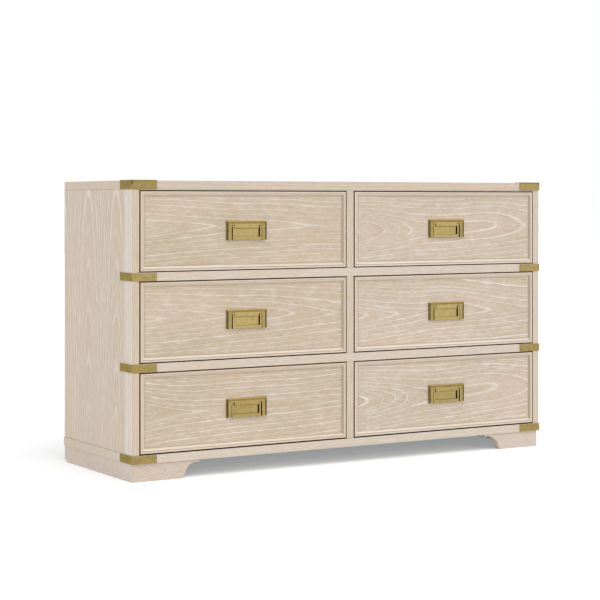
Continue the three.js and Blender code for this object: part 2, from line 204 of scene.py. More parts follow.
    # Late wood is a shade darker, and whole stretches drift between a pinker and a yellower tan.
    streak = add_node(tree, "ShaderNodeMapRange", {0: dashes, 1: 0.28, 2: 0.5, 3: 0.42, 4: 0.0}).outputs[0]
    dark = add_node(tree, "ShaderNodeMath", {0: hard.outputs[0], 1: strong}, operation="MULTIPLY").outputs[0]
    dark = add_node(tree, "ShaderNodeMath", {0: dark, 1: 0.7 * figure, 2: streak}, operation="MULTIPLY_ADD",
                    use_clamp=True).outputs[0]
    wood = add_node(tree, "ShaderNodeMix", {"Factor": dark, "A": colour(ground), "B": colour(late)},
                    data_type="RGBA").outputs["Result"]
    tone = add_node(tree, "ShaderNodeTexNoise", {
        "Vector": add_node(tree, "ShaderNodeVectorMath", {0: waves, 1: (0.6, 0.5, 0.5)},
                           operation="MULTIPLY").outputs[0],
        "Scale": 1.0, "Detail": 1.0,
    }).outputs["Fac"]
    tone = add_node(tree, "ShaderNodeMapRange", {0: tone, 1: 0.35, 2: 0.65, 3: 0.0, 4: drift}).outputs[0]
    wood = add_node(tree, "ShaderNodeMix", {"Factor": tone, "A": wood, "B": colour("#D4BDA8")},
                    data_type="RGBA").outputs["Result"]
    wood = add_node(tree, "ShaderNodeMix", {"Factor": white, "A": wood, "B": colour(lime)},
                    data_type="RGBA").outputs["Result"]

    # Painted shade: a sunk panel darkens towards its rim, as the shade that the moulding casts on it.
    if edge:
        middle = [(a + b) / 2 for a, b in zip(*edge)]
        half = [(b - a) / 2 for a, b in zip(*edge)]
        rim = add_node(tree, "ShaderNodeVectorMath", {0: place, 1: middle}, operation="SUBTRACT").outputs[0]
        rim = add_node(tree, "ShaderNodeVectorMath", {0: rim}, operation="ABSOLUTE").outputs[0]
        rim = add_node(tree, "ShaderNodeVectorMath", {0: half, 1: rim}, operation="SUBTRACT").outputs[0]
        rim = add_node(tree, "ShaderNodeSeparateXYZ", {0: rim}).outputs
        rim = add_node(tree, "ShaderNodeMath", {0: rim["X"], 1: rim["Z"]}, operation="MINIMUM").outputs[0]
        rim = add_node(tree, "ShaderNodeMapRange",
                       {0: rim, 1: 0.0, 2: RIM_SHADE_WIDTH, 3: 0.62, 4: 0.0}).outputs[0]
        wood = add_node(tree, "ShaderNodeMix", {"Factor": rim, "A": wood, "B": colour("#AA9880")},
                        data_type="RGBA").outputs["Result"]

    gloss = add_node(tree, "ShaderNodeMapRange", {0: white, 3: 0.5, 4: 0.64}).outputs[0]
    relief = add_node(tree, "ShaderNodeBump", {"Height": dashes, "Strength": 0.25, "Distance": 0.0004})
    shader = add_node(tree, "ShaderNodeBsdfPrincipled", {
        "Base Color": wood, "Roughness": gloss, "Normal": relief.outputs[0], "IOR": 1.5,
        "Specular IOR Level": sheen,
    })
    add_node(tree, "ShaderNodeOutputMaterial", {"Surface": shader.outputs[0]})
    return material


def start_block(name, low, high):
    """A block between two corners, alone selected, with its place and size in its mesh."""
    bpy.ops.object.select_all(action="DESELECT")
    bpy.ops.mesh.primitive_cube_add(size=1, location=[(a + b) / 2 for a, b in zip(low, high)])
    piece = bpy.context.object
    piece.scale = [b - a for a, b in zip(low, high)]
    bpy.ops.object.transform_apply(location=True, rotation=True, scale=True)
    piece.name = piece.data.name = name
    return piece


def ease_edges(piece, width, steps=2):
    """Takes the sharpness off a finished piece's edges, as a sander does, and shades its faces flat."""
    bevel = piece.modifiers.new("eased", "BEVEL")
    bevel.width = width
    bevel.segments = steps
    bevel.limit_method = "ANGLE"
    bevel.angle_limit = math.radians(28)
    bpy.ops.object.select_all(action="DESELECT")
    piece.select_set(True)
    bpy.context.view_layer.objects.active = piece
    bpy.ops.object.modifier_apply(modifier=bevel.name)
    bpy.ops.object.shade_smooth_by_angle(angle=math.radians(50))
    even = piece.modifiers.new("even", "WEIGHTED_NORMAL")
    even.keep_sharp = True
    bpy.ops.object.modifier_apply(modifier=even.name)


def dress(piece, node, body, slot, *materials):
    """Gives a piece its materials, and makes it stand for a CAD node and ride with its body."""
    for material in materials:
        piece.data.materials.append(material)
    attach(piece, body)
    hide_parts(node)


LEAF_WIDTH = 0.198
for side, hand in (("left", -1), ("right", 1)):
    low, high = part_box(f"{side}_side_panel")
    panel = start_block(f"{side}_side_veneered_board", low, high)
    ease_edges(panel, width=0.0008)
    oak = limed_oak(
        f"limed_oak_{side}_side", "ZYX", heart=low.y + 0.055, face=low.x if hand < 0 else high.x,
        run=(low.z, high.z), leaf=LEAF_WIDTH, depth=((0, 0.2), (0.5, 0.5), (1, 0.84)),
        sway=((0, 0.5), (0.5, 0.48), (1, 0.5)), ring=0.0078, seed=3.0, ground="#D3C3B1", late="#C2AF99",
        lime="#EEE6DE", figure=0.86, wander=0.007, even=0.05, band=0.26, fine=200.0, bow=1.8, tips=1.0,
        dash=35.0)
    dress(panel, f"{side}_side_panel", "case", "limed_oak", oak)


# Base panel: a slab under the whole case. Its side edges stand 2 mm proud of the side panels from
# the brackets back, in line with the brackets' brass, and are eased. Its top under the lowest drawers
# is painted dark brown, like the other inner faces seen through the gaps, as the shade in them.

def pick_faces(piece, wanted):
    """Leaves a piece in edit mode with those faces selected that are wanted."""
    bpy.ops.object.mode_set(mode="EDIT")
    bpy.ops.mesh.select_mode(type="FACE")
    bpy.ops.mesh.select_all(action="DESELECT")
    bpy.ops.object.mode_set(mode="OBJECT")
    for face in piece.data.polygons:
        face.select = wanted(face)
    bpy.ops.object.mode_set(mode="EDIT")


# Painted shade: dark brown oak on the faces seen through the gaps beside the drawers, as the shade in them.
oak_gap_shade = limed_oak("painted_shade_oak_inner_face", "ZXY", heart=0.0, face=0.0, run=(0.0, 0.9), ring=0.004, seed=37.0,
                     ground="#664D27", late="#573F1C", lime="#765C35", figure=0.2, drift=0.0, sheen=0.0)
# The proud edges start where the brackets' side legs end, so far behind the front plane.
BRACKET_LEG_END = 0.0783
low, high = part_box("base_panel")
left_face, right_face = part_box("left_side_panel")[0].x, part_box("right_side_panel")[1].x
base = start_block("base_slab", (left_face, low.y, low.z), (right_face, high.y, high.z))
bpy.ops.object.mode_set(mode="EDIT")
bpy.ops.mesh.select_all(action="SELECT")
bpy.ops.mesh.bisect(plane_co=(0, low.y + BRACKET_LEG_END, 0), plane_no=(0, 1, 0))
for hand in (-1, 1):
    pick_faces(base, lambda face: face.normal.x * hand > 0.9 and face.center.y > low.y + BRACKET_LEG_END)
    bpy.ops.mesh.extrude_region_move(TRANSFORM_OT_translate={"value": (hand * (high.x - right_face), 0, 0)})
bpy.ops.object.mode_set(mode="OBJECT")
ease_edges(base, width=0.0008)
# The inner top takes the painted gap shade.
for face in base.data.polygons:
    if face.normal.z > 0.9 and left_face < face.center.x < right_face:
        face.material_index = 1
oak_base = limed_oak("limed_oak_base", "XZY", heart=low.z - 0.06, face=low.y, run=(low.x, high.x), seed=11.0,
                     ring=0.0048, ground="#D5C9B9", late="#C7B9A7", lime="#EAE2DA", figure=0.85, fine=190.0,
                     dash=45.0)
dress(base, "base_panel", "case", "limed_oak", oak_base, oak_gap_shade)


# Feet: boards of solid oak under the base, mitred at the front corners and cut to an arch along the
# front. The cut edge is end grain, which takes the lime greyer, and is also painted lighter, as the
# light that reaches into the arch.

def copy_solid(node, name):
    """A copy of a CAD solid with its loose triangles joined up and its flat faces whole again."""
    piece = bpy.data.objects.new(name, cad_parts[node].data.copy())
    piece.data.name = name
    piece.data.materials.clear()
    bpy.context.scene.collection.objects.link(piece)
    bpy.ops.object.select_all(action="DESELECT")
    piece.select_set(True)
    bpy.context.view_layer.objects.active = piece
    bpy.ops.object.mode_set(mode="EDIT")
    bpy.ops.mesh.select_all(action="SELECT")
    bpy.ops.mesh.remove_doubles(threshold=0.00002)
    bpy.ops.mesh.dissolve_limited(angle_limit=math.radians(1))
    bpy.ops.object.mode_set(mode="OBJECT")
    return piece


def pick_vertices(piece, wanted):
    """Leaves a piece in edit mode with those vertices selected whose place is wanted."""
    bpy.ops.object.mode_set(mode="EDIT")
    bpy.ops.mesh.select_mode(type="VERT")
    bpy.ops.mesh.select_all(action="DESELECT")
    bpy.ops.object.mode_set(mode="OBJECT")
    for vertex in piece.data.vertices:
        vertex.select = wanted(vertex.co)
    bpy.ops.object.mode_set(mode="EDIT")


# Painted light: the arch's cut edge is lighter than the face, and greyer as end grain.
oak_end_grain_lit = limed_oak("painted_light_oak_end_grain", "XZY", heart=0.0, face=0.0, run=(-1.0, 1.0), ring=0.004,
                    seed=19.0, ground="#D9D0C2", late="#CCC2B2", lime="#E2DCD4", figure=0.3)
# The cut of a front foot, measured in from the case's corner and up from the floor: where the arch's
# foot lies and where its curve does.
ARCH_REACH = (0.155, 0.198)
CURVE_REACH = (0.173, 0.201)
CURVE_HEIGHT = (0.0195, 0.0465)
ARCH_START, ARCH_TOP = 0.174, 0.046
ARCH_DRAWN_ON, ARCH_LOWERED = 0.004, 0.0025
# Where its flat top starts, and the place on it that stays put when the toe is cut shorter.
FLAT_START, TOE_PIVOT = 0.19, 0.216
# How much of a side foot's lower back corner is planed off, along it and up.
PLANED_LENGTH, PLANED_HEIGHT = 0.036, 0.008
for side, hand in (("left", -1), ("right", 1)):
    low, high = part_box(f"{side}_front_foot")
    foot = copy_solid(f"{side}_front_foot", f"{side}_front_foot_board")
    # The arch is a wide sweep: its foot is drawn 4 mm on, its curve to half as long again, and its
    # top 2.5 mm down.
    corner = (low.x if hand < 0 else high.x) + hand * 0.001
    pick_vertices(foot, lambda spot: ARCH_REACH[0] < abs(spot.x - corner) < ARCH_REACH[1])
    bpy.ops.transform.translate(value=(-hand * ARCH_DRAWN_ON, 0, 0))
    pick_vertices(foot, lambda spot: CURVE_REACH[0] < abs(spot.x - corner) < CURVE_REACH[1]
                  and CURVE_HEIGHT[0] < spot.z < CURVE_HEIGHT[1])
    bpy.ops.transform.resize(value=(1.58, 1, 1.3),
                             center_override=(corner - hand * ARCH_START, low.y, ARCH_TOP))
    pick_vertices(foot, lambda spot: abs(spot.x - corner) > FLAT_START
                  and abs(spot.z - ARCH_TOP) < 0.0005)
    bpy.ops.transform.translate(value=(0, 0, -ARCH_LOWERED))
    if side == "right":
        # The right foot's toe is cut 9 mm shorter.
        pick_vertices(foot, lambda spot: ARCH_REACH[0] < corner - spot.x < TOE_PIVOT + 0.001
                      and spot.z < CURVE_HEIGHT[1])
        bpy.ops.transform.resize(value=(1.21, 1, 1), center_override=(corner - TOE_PIVOT, low.y, 0.0))
    bpy.ops.object.mode_set(mode="OBJECT")
    ease_edges(foot, width=0.0007)
    for face in foot.data.polygons:
        if abs(face.center.x - corner) > ARCH_REACH[0] and abs(face.normal.y) < 0.5:
            face.material_index = 1
    oak = limed_oak(f"limed_oak_{side}_front_foot", "XZY", heart=low.z + 0.03, face=low.y,
                    run=(low.x, high.x), depth=((0, 0.3), (1, 0.8)), seed=17.0 + hand, ring=0.005,
                    ground="#CEBFB0" if side == "left" else "#D2C6B9", late="#C2B19E", lime="#E6DED6",
                    figure=0.85, fine=190.0, dash=45.0)
    dress(foot, f"{side}_front_foot", "case", "limed_oak", oak, oak_end_grain_lit)

    low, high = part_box(f"{side}_side_foot")
    foot = copy_solid(f"{side}_side_foot", f"{side}_side_foot_board")
    # The lower back corner is planed off, so that an uneven floor doesn't lift it.
    bpy.ops.object.mode_set(mode="EDIT")
    bpy.ops.mesh.select_all(action="SELECT")
    bpy.ops.mesh.bisect(plane_co=(0, high.y - PLANED_LENGTH, low.z),
                        plane_no=(0, PLANED_HEIGHT, -PLANED_LENGTH), clear_outer=True, use_fill=True)
    bpy.ops.object.mode_set(mode="OBJECT")
    ease_edges(foot, width=0.0012)
    oak = limed_oak(f"limed_oak_{side}_side_foot", "YZX", heart=low.z + 0.02,
                    face=low.x if hand < 0 else high.x, run=(low.y, high.y),
                    depth=((0, 0.75), (0.5, 0.35), (1, 0.6)), seed=23.0 + hand, ring=0.005,
                    ground="#D6CAC0", late="#CBBDB0", lime="#E6DED8", figure=0.85, fine=190.0, dash=45.0)
    dress(foot, f"{side}_side_foot", "case", "limed_oak", oak)

low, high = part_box("back_foot")
foot = start_block("back_foot_board", low, high)
ease_edges(foot, width=0.001)
oak = limed_oak("limed_oak_back_foot", "XZY", heart=low.z - 0.03, face=high.y, run=(low.x, high.x),
                seed=29.0, figure=0.5)
dress(foot, "back_foot", "case", "limed_oak", oak)


# Front posts: solid oak, rift sawn, so that the front and the side show straight upright grain.
# They stand on the base at the front corners, and the rails are dowelled into them. What faces an
# opening is painted dark brown, as the shade in the gaps beside the drawers.

# The left one was planed a little narrower.
PLANED_OFF = 0.0008
POST_GROUND = {"left": ("#D0BEA5", "#C2AE92"), "right": ("#D2C3B1", "#C2B19C")}
for side, hand in (("left", -1), ("right", 1)):
    low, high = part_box(f"{side}_front_post")
    if side == "left":
        high.x -= PLANED_OFF
    post = start_block(f"{side}_corner_post", low, high)
    ease_edges(post, width=0.001)
    ground, late = POST_GROUND[side]
    oak_front = limed_oak(f"limed_oak_{side}_post_front", "ZXY", heart=(low.x + high.x) / 2 + hand * 0.05,
                          face=low.y, run=(low.z, high.z), depth=((0, 0.3), (0.5, 0.25), (1, 0.35)),
                          seed=31.0 + hand, ring=0.004, ground=ground, late=late, lime="#E6DCD4",
                          figure=1.0, fine=190.0)
    oak_side = limed_oak(f"limed_oak_{side}_post_side", "ZYX", heart=low.y + 0.075,
                         face=low.x if hand < 0 else high.x, run=(low.z, high.z),
                         depth=((0, 0.1), (0.5, 0.05), (1, 0.12)), seed=33.0 + hand, ring=0.0075,
                         ground="#DDD0C2", late="#CCBBA9", lime="#F6F2EF", wander=0.006, band=0.4)
    # The post's inner face towards the drawers takes the painted gap shade.
    for face in post.data.polygons:
        if abs(face.normal.x) > 0.6:
            face.material_index = 1 if face.normal.x * hand > 0 else 2
    dress(post, f"{side}_front_post", "case", "limed_oak_post", oak_front, oak_side, oak_gap_shade)


# Partition, rails and the strip under the top: solid oak front edges, the rails run from post to
# post and the partition is notched round them and glued.

def slide_along(piece, distance):
    """Moves a piece's mesh to the right by a distance."""
    pick_vertices(piece, lambda spot: True)
    bpy.ops.transform.translate(value=(distance, 0, 0))
    bpy.ops.object.mode_set(mode="OBJECT")


partition = copy_solid("center_partition", "centre_partition_board")
# It was glued in a little right of the middle.
PARTITION_SHIFT = 0.002
slide_along(partition, PARTITION_SHIFT)
ease_edges(partition, width=0.0008)
# The partition's sides and back take the painted gap shade.
for face in partition.data.polygons:
    if face.normal.y > -0.2:
        face.material_index = 1
low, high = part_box("center_partition")
oak = limed_oak("limed_oak_partition", "ZXY", heart=(low.x + high.x) / 2 - 0.03, face=low.y,
                run=(low.z, high.z), depth=((0, 0.3), (1, 0.2)), seed=41.0, ring=0.0055, ground="#CFBFAA",
                late="#C2B098", figure=0.9, fine=190.0)
dress(partition, "center_partition", "case", "limed_oak", oak, oak_gap_shade)
for number, (node, width) in enumerate((("lower_rail", 0.0008), ("upper_rail", 0.0008),
                                        ("top_front_rail", 0.0004))):
    low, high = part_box(node)
    rail = start_block(f"{node}_board", low, high)
    ease_edges(rail, width=width)
    # The rail's top, bottom and back take the painted gap shade.
    for face in rail.data.polygons:
        if face.normal.y > -0.2:
            face.material_index = 1
    oak = limed_oak(f"limed_oak_{node}", "XZY", heart=low.z - 0.04 + 0.03 * number, face=low.y,
                    run=(low.x, high.x), depth=((0, 0.55), (0.4, 0.3), (1, 0.6)), seed=43.0 + 3 * number,
                    ring=0.0048, ground="#D5C9B9", late="#C7B9A7", lime="#EAE2DA", figure=0.85, fine=190.0,
                    dash=45.0)
    dress(rail, node, "case", "limed_oak", oak, oak_gap_shade)


# Top: one slab, veneered in long leaves that run from side to side, with a solid edge all round.
# It lies flush on the sides, the posts and the partition, and dowels and glue hold it.

low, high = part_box("top_panel")
top = start_block("top_slab", low, high)
ease_edges(top, width=0.001)
oak_edge = limed_oak("limed_oak_top_edge", "XZY", heart=low.z + 0.06, face=low.y, run=(low.x, high.x),
                     depth=((0, 0.5), (0.5, 0.4), (1, 0.55)), seed=51.0, ground="#CDBDA8", late="#BFAF98")
oak_end = limed_oak("limed_oak_top_side_edge", "YZX", heart=low.z + 0.05, face=low.x, run=(low.y, high.y),
                    seed=53.0, ring=0.0048, ground="#D3C1AE", late="#C9B6A1", lime="#E4DAD1", figure=0.5)
oak_top = limed_oak("limed_oak_top", "XYZ", heart=low.y + 0.08, face=high.z, run=(low.x, high.x), leaf=0.161,
                    depth=((0, 0.08), (0.3, 0.3), (0.55, 0.36), (0.8, 0.62), (1, 0.7)), seed=57.0,
                    figure=0.8)
for face in top.data.polygons:
    if abs(face.normal.z) > 0.7:
        face.material_index = 2
    elif abs(face.normal.x) > 0.7:
        face.material_index = 1
dress(top, "top_panel", "case", "limed_oak", oak_edge, oak_end, oak_top)


# Back panel: a 6 mm oak-faced board let in behind the sides. Pan-head screws along its edges and
# down its middle hold it to the case.

low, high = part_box("back_panel")
# It is cut a quarter of a millimetre larger all round, so that no light comes through its joints.
OVERSIZE = 0.00025
back = start_block("back_board", (low.x - OVERSIZE, low.y, low.z - OVERSIZE),
                   (high.x + OVERSIZE, high.y, high.z + OVERSIZE))
ease_edges(back, width=0.0006)
oak = limed_oak("limed_oak_back", "XZY", heart=low.z + 0.12, face=high.y, run=(low.x, high.x), leaf=0.25,
                depth=((0, 0.7), (0.4, 0.45), (1, 0.2)), seed=61.0, ground="#C9B79C", late="#BCA98C",
                lime="#D8CCBC", figure=0.45)
dress(back, "back_panel", "case", "back_board", oak)

SCREW_RADIUS = 0.0036
SCREW_HEIGHT = 0.0018
SOCKET_DEPTH = 0.001
# Dull zinc, with the faint mottle, in spots of 1.5 mm, of plating that has sat in a warehouse.
steel = bpy.data.materials.new("zinc_plated_screws")
tree = new_tree(steel)
place = add_node(tree, "ShaderNodeTexCoord").outputs["Object"]
mottle = add_node(tree, "ShaderNodeTexNoise",
                  {"Vector": place, "Scale": 700.0, "Detail": 3.0}).outputs["Fac"]
zinc = add_node(tree, "ShaderNodeMix", {"Factor": mottle, "A": colour("#8E8F8C"), "B": colour("#B9BAB6")},
                data_type="RGBA").outputs["Result"]
shader = add_node(tree, "ShaderNodeBsdfPrincipled", {"Base Color": zinc, "Metallic": 1.0, "Roughness": 0.42})
add_node(tree, "ShaderNodeOutputMaterial", {"Surface": shader.outputs[0]})


def join_pieces(name, pieces):
    """Joins pieces into one, with its place and turn in its mesh."""
    bpy.ops.object.select_all(action="DESELECT")
    for piece in pieces:
        piece.select_set(True)
    bpy.context.view_layer.objects.active = pieces[0]
    bpy.ops.object.join()
    bpy.ops.object.transform_apply(location=True, rotation=True, scale=True)
    joined = bpy.context.object
    joined.name = joined.data.name = name
    return joined


def add_screws(name, places, turn, body):
    """Pan-head screws with a socket in the head, at places on a flat face, as one piece."""
    heads = []
    for place in places:
        bpy.ops.object.select_all(action="DESELECT")
        bpy.ops.mesh.primitive_cylinder_add(vertices=20, radius=SCREW_RADIUS, depth=SCREW_HEIGHT)
        head = bpy.context.object
        pick_faces(head, lambda face: face.normal.z > 0.9)
        bpy.ops.mesh.inset(thickness=SCREW_RADIUS * 0.5)
        bpy.ops.mesh.inset(thickness=0.0002, depth=-SOCKET_DEPTH)
        bpy.ops.object.mode_set(mode="OBJECT")
        head.rotation_euler, head.location = turn, place
        heads.append(head)
    screws = join_pieces(name, heads)
    ease_edges(screws, width=0.0004)
    screws.data.materials.append(steel)
    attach(screws, body)


# Seven columns along the top and the bottom, and two screws between in the outer and middle ones.
END_MARGIN, EDGE_MARGIN = 0.02, 0.014
columns = [low.x + END_MARGIN + (high.x - low.x - 2 * END_MARGIN) * step / 6 for step in range(7)]
places = [(x, high.y, z) for x in columns for z in (low.z + EDGE_MARGIN, high.z - EDGE_MARGIN)]
places += [(x, high.y, low.z + (high.z - low.z) * part) for x in (columns[0], columns[3], columns[6])
           for part in (0.34, 0.67)]
add_screws("back_panel_screws", places, (math.radians(-90), 0, 0), "case")


# Corner brackets: sheet brass of 2.2 mm, folded round the corner and held by two flush pins a leg.
# Brushed along the leg, then aged: the brown patina stays where polishing doesn't reach.

# How many scratches of the brush lie in a metre, along them and across.
BRUSH_LENGTHS, BRUSH_LINES = 80.0, 1400.0


def aged_brass(name, base, worn, patina, along="X", rough=0.36):
    """Brushed brass. along is the way it was brushed. Patina stays in its corners and hollows."""
    material = bpy.data.materials.new(name)
    tree = new_tree(material)
    place = add_node(tree, "ShaderNodeTexCoord").outputs["Object"]
    # A scratch of the brush is about 12 mm long and 0.1 mm wide: drawn 0.7 mm wide to show at all.
    stretch = tuple(BRUSH_LENGTHS if axis == along else BRUSH_LINES for axis in "XYZ")
    stretched = add_node(tree, "ShaderNodeVectorMath", {0: place, 1: stretch},
                         operation="MULTIPLY").outputs[0]
    brushed = add_node(tree, "ShaderNodeTexNoise",
                       {"Vector": stretched, "Scale": 1.0, "Detail": 2.0}).outputs["Fac"]
    # Tarnish lies on it in clouds of about 11 mm.
    clouds = add_node(tree, "ShaderNodeTexNoise",
                      {"Vector": place, "Scale": 90.0, "Detail": 3.0, "Roughness": 0.6}).outputs["Fac"]
    hollow = add_node(tree, "ShaderNodeAmbientOcclusion", {"Distance": 0.004}, samples=8).outputs["AO"]
    hollow = add_node(tree, "ShaderNodeMapRange", {0: hollow, 1: 0.35, 2: 0.85, 3: 0.9, 4: 0.0}).outputs[0]
    tint = add_node(tree, "ShaderNodeMapRange", {0: brushed, 1: 0.3, 2: 0.7}).outputs[0]
    metal = add_node(tree, "ShaderNodeMix", {"Factor": tint, "A": colour(base), "B": colour(worn)},
                     data_type="RGBA").outputs["Result"]
    dull = add_node(tree, "ShaderNodeMapRange", {0: clouds, 1: 0.42, 2: 0.75, 3: 0.0, 4: 0.45}).outputs[0]
    dull = add_node(tree, "ShaderNodeMath", {0: dull, 1: hollow}, operation="MAXIMUM").outputs[0]
    metal = add_node(tree, "ShaderNodeMix", {"Factor": dull, "A": metal, "B": colour(patina)},
                     data_type="RGBA").outputs["Result"]
    matt = add_node(tree, "ShaderNodeMapRange", {0: dull, 3: rough, 4: rough + 0.2}).outputs[0]
    relief = add_node(tree, "ShaderNodeBump", {"Height": brushed, "Strength": 0.12, "Distance": 0.0002})
    shader = add_node(tree, "ShaderNodeBsdfPrincipled", {
        "Base Color": metal, "Metallic": 1.0, "Roughness": matt, "Normal": relief.outputs[0],
    })
    add_node(tree, "ShaderNodeOutputMaterial", {"Surface": shader.outputs[0]})
    return material


brass = aged_brass("aged_brass", "#A4905B", "#AF9C66", "#857042")
# Painted shade: the side legs are darker brass, as the dimmer light on the side.
brass_side_shade = aged_brass("painted_shade_brass_side_leg", "#887020", "#927E2E", "#6B5514", along="Y")
brass_low = aged_brass("aged_brass_lower_brackets", "#9B8852", "#A6945D", "#7C683A")
# Painted shade for the brackets' cap edges and for the dark lines on the pulls.
brass_shade = aged_brass("painted_shade_brass_edge", "#8F7740", "#99824A", "#6E5A2C")
# Painted dark reflection on the rim's flanks and the cap's side edge; the left brackets' pins take this
# darker brass too.
brass_flank_shade_and_pins = aged_brass("painted_shade_brass_flank_and_pins", "#857236", "#917E42", "#655222", along="Z", rough=0.45)
brass_pin = aged_brass("aged_brass_side_pins", "#5C4818", "#6A5422", "#46360F", rough=0.5)
brass_seam = aged_brass("aged_brass_mitre_seam", "#40300A", "#4D3B10", "#302408", along="Z", rough=0.5)

PIN_RADIUS = 0.002
PIN_HEIGHT = 0.0006
# Where a leg's pins sit, from the corner, on the front and on the side.
FRONT_PINS = (0.040, 0.066)
SIDE_PINS = (0.030, 0.062)


def add_pins(name, places, body):
    """Flush pins with a soft rim, at places given as a point and whether it is on the front."""
    made = []
    for place, on_front in places:
        turn = (math.radians(90), 0, 0) if on_front else (0, math.radians(90), 0)
        bpy.ops.object.select_all(action="DESELECT")
        bpy.ops.mesh.primitive_cylinder_add(vertices=16, radius=PIN_RADIUS, depth=PIN_HEIGHT, location=place,
                                            rotation=turn)
        made.append(bpy.context.object)
    pins = join_pieces(name, made)
    ease_edges(pins, width=0.00018)
    pins.data.materials.append(brass_flank_shade_and_pins if name.startswith("left") else brass)
    pins.data.materials.append(brass_pin)
    for face in pins.data.polygons:
        face.material_index = int(abs(face.normal.x) > 0.7)
    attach(pins, body)


# The mitre's seam on the top bracket: how far down it goes, how wide it shows, and how deep.
SEAM_LENGTH, SEAM_WIDTH, SEAM_DEPTH = 0.013, 0.003, 0.001
# The upper edge of its cap is painted darker as shade, so far down.
CAP_EDGE = 0.0042
# How far below the cap's top its pins sit.
TOP_PIN_DROP = 0.0125
# Which of a bracket's materials a face takes, where that isn't the first.
SIDE_LEG, UPPER_FRONT, SEAM, UPPER_SIDE = range(1, 5)
for side, hand in (("left", -1), ("right", 1)):
    for level in ("base", "lower_rail", "upper_rail", "top"):
        node = f"{side}_{level}_bracket"
        low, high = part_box(node)
        bracket = copy_solid(node, f"{node}_brass")
        corner = low.x if hand < 0 else high.x
        seam_foot = high.z - SEAM_LENGTH
        if level == "top":
            # The sheet is cut and mitred over the top's corner, which leaves a dark seam there.
            bpy.ops.object.mode_set(mode="EDIT")
            for place, facing in (((corner - hand * SEAM_WIDTH, 0, 0), (1, 0, 0)),
                                  ((0, low.y + SEAM_DEPTH, 0), (0, 1, 0)),
                                  ((0, 0, seam_foot), (0, 0, 1)), ((0, 0, high.z - CAP_EDGE), (0, 0, 1))):
                bpy.ops.mesh.select_all(action="SELECT")
                bpy.ops.mesh.bisect(plane_co=place, plane_no=facing)
            bpy.ops.object.mode_set(mode="OBJECT")
        ease_edges(bracket, width=0.0006)
        for face in bracket.data.polygons:
            spot, on_side = face.center, abs(face.normal.x) > 0.7
            in_seam = abs(spot.x - corner) < SEAM_WIDTH and spot.y < low.y + SEAM_DEPTH
            if level == "top" and in_seam and spot.z > seam_foot:
                face.material_index = SEAM
            elif level == "top" and spot.z > high.z - CAP_EDGE and abs(face.normal.z) < 0.9:
                face.material_index = UPPER_SIDE if on_side else UPPER_FRONT
            elif on_side:
                face.material_index = SIDE_LEG
        duller = level in ("base", "lower_rail") or node == "left_top_bracket"
        dress(bracket, node, "case", "aged_brass", brass_low if duller else brass, brass_side_shade, brass_shade,
              brass_seam, brass_flank_shade_and_pins)
        middle = high.z - TOP_PIN_DROP if level == "top" else (low.z + high.z) / 2
        add_pins(f"{node}_pins",
                 [((corner - hand * reach, low.y, middle), True) for reach in FRONT_PINS]
                 + [((corner, low.y + reach, middle), False) for reach in SIDE_PINS], "case")


# Runners: waxed hardwood strips screwed to the case, one each side of every drawer, which the
# grooved drawer sides ride on.

NAMES = [f"{row}_{column}" for row in ("lower", "middle", "upper") for column in ("left", "right")]
wax_wood = limed_oak("waxed_beech_runner", "YZX", heart=0.1, face=0.0, run=(-0.25, 0.25), seed=71.0,
                     ring=0.003, ground="#C9AA7E", late="#BC9B6C", lime="#D3B88F", figure=0.3)
for name in NAMES:
    for hand in ("left", "right"):
        node = f"{name}_runner_{hand}"
        low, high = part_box(node)
        strip = start_block(f"{node}_strip", low, high)
        ease_edges(strip, width=0.001)
        dress(strip, node, "case", "runner_wood", wax_wood)


# Drawer boxes: boards of 14 mm pale poplar round a thin bottom, grooved outside for the runners.
# The boards are glued up and lacquered, and each box is fixed to the back of its drawer's front.

box_wood = limed_oak("lacquered_poplar_box", "YZX", heart=0.3, face=0.0, run=(-0.25, 0.25), leaf=0.17,
                     seed=81.0, ring=0.005, ground="#DCC9A6", late="#CFB98F", lime="#E6D7BA", figure=0.35)
for name in NAMES:
    node = f"{name}_drawer_box"
    box = copy_solid(node, f"{node}_boards")
    ease_edges(box, width=0.0012)
    dress(box, node, f"{name}_drawer", "drawer_box_wood", box_wood)


# Drawer fronts: a veneered panel 4 mm deep inside a mitred oak moulding. The moulding has a flat
# outer edge, a fine quirk, a bead, and a fall to the panel. The quirk and the fall are painted darker
# as shade, the right fall most, and the front's arrises and edge walls dark brown as the gaps' shade.
# Each panel shows its own figure; the upper and lower right ones match.

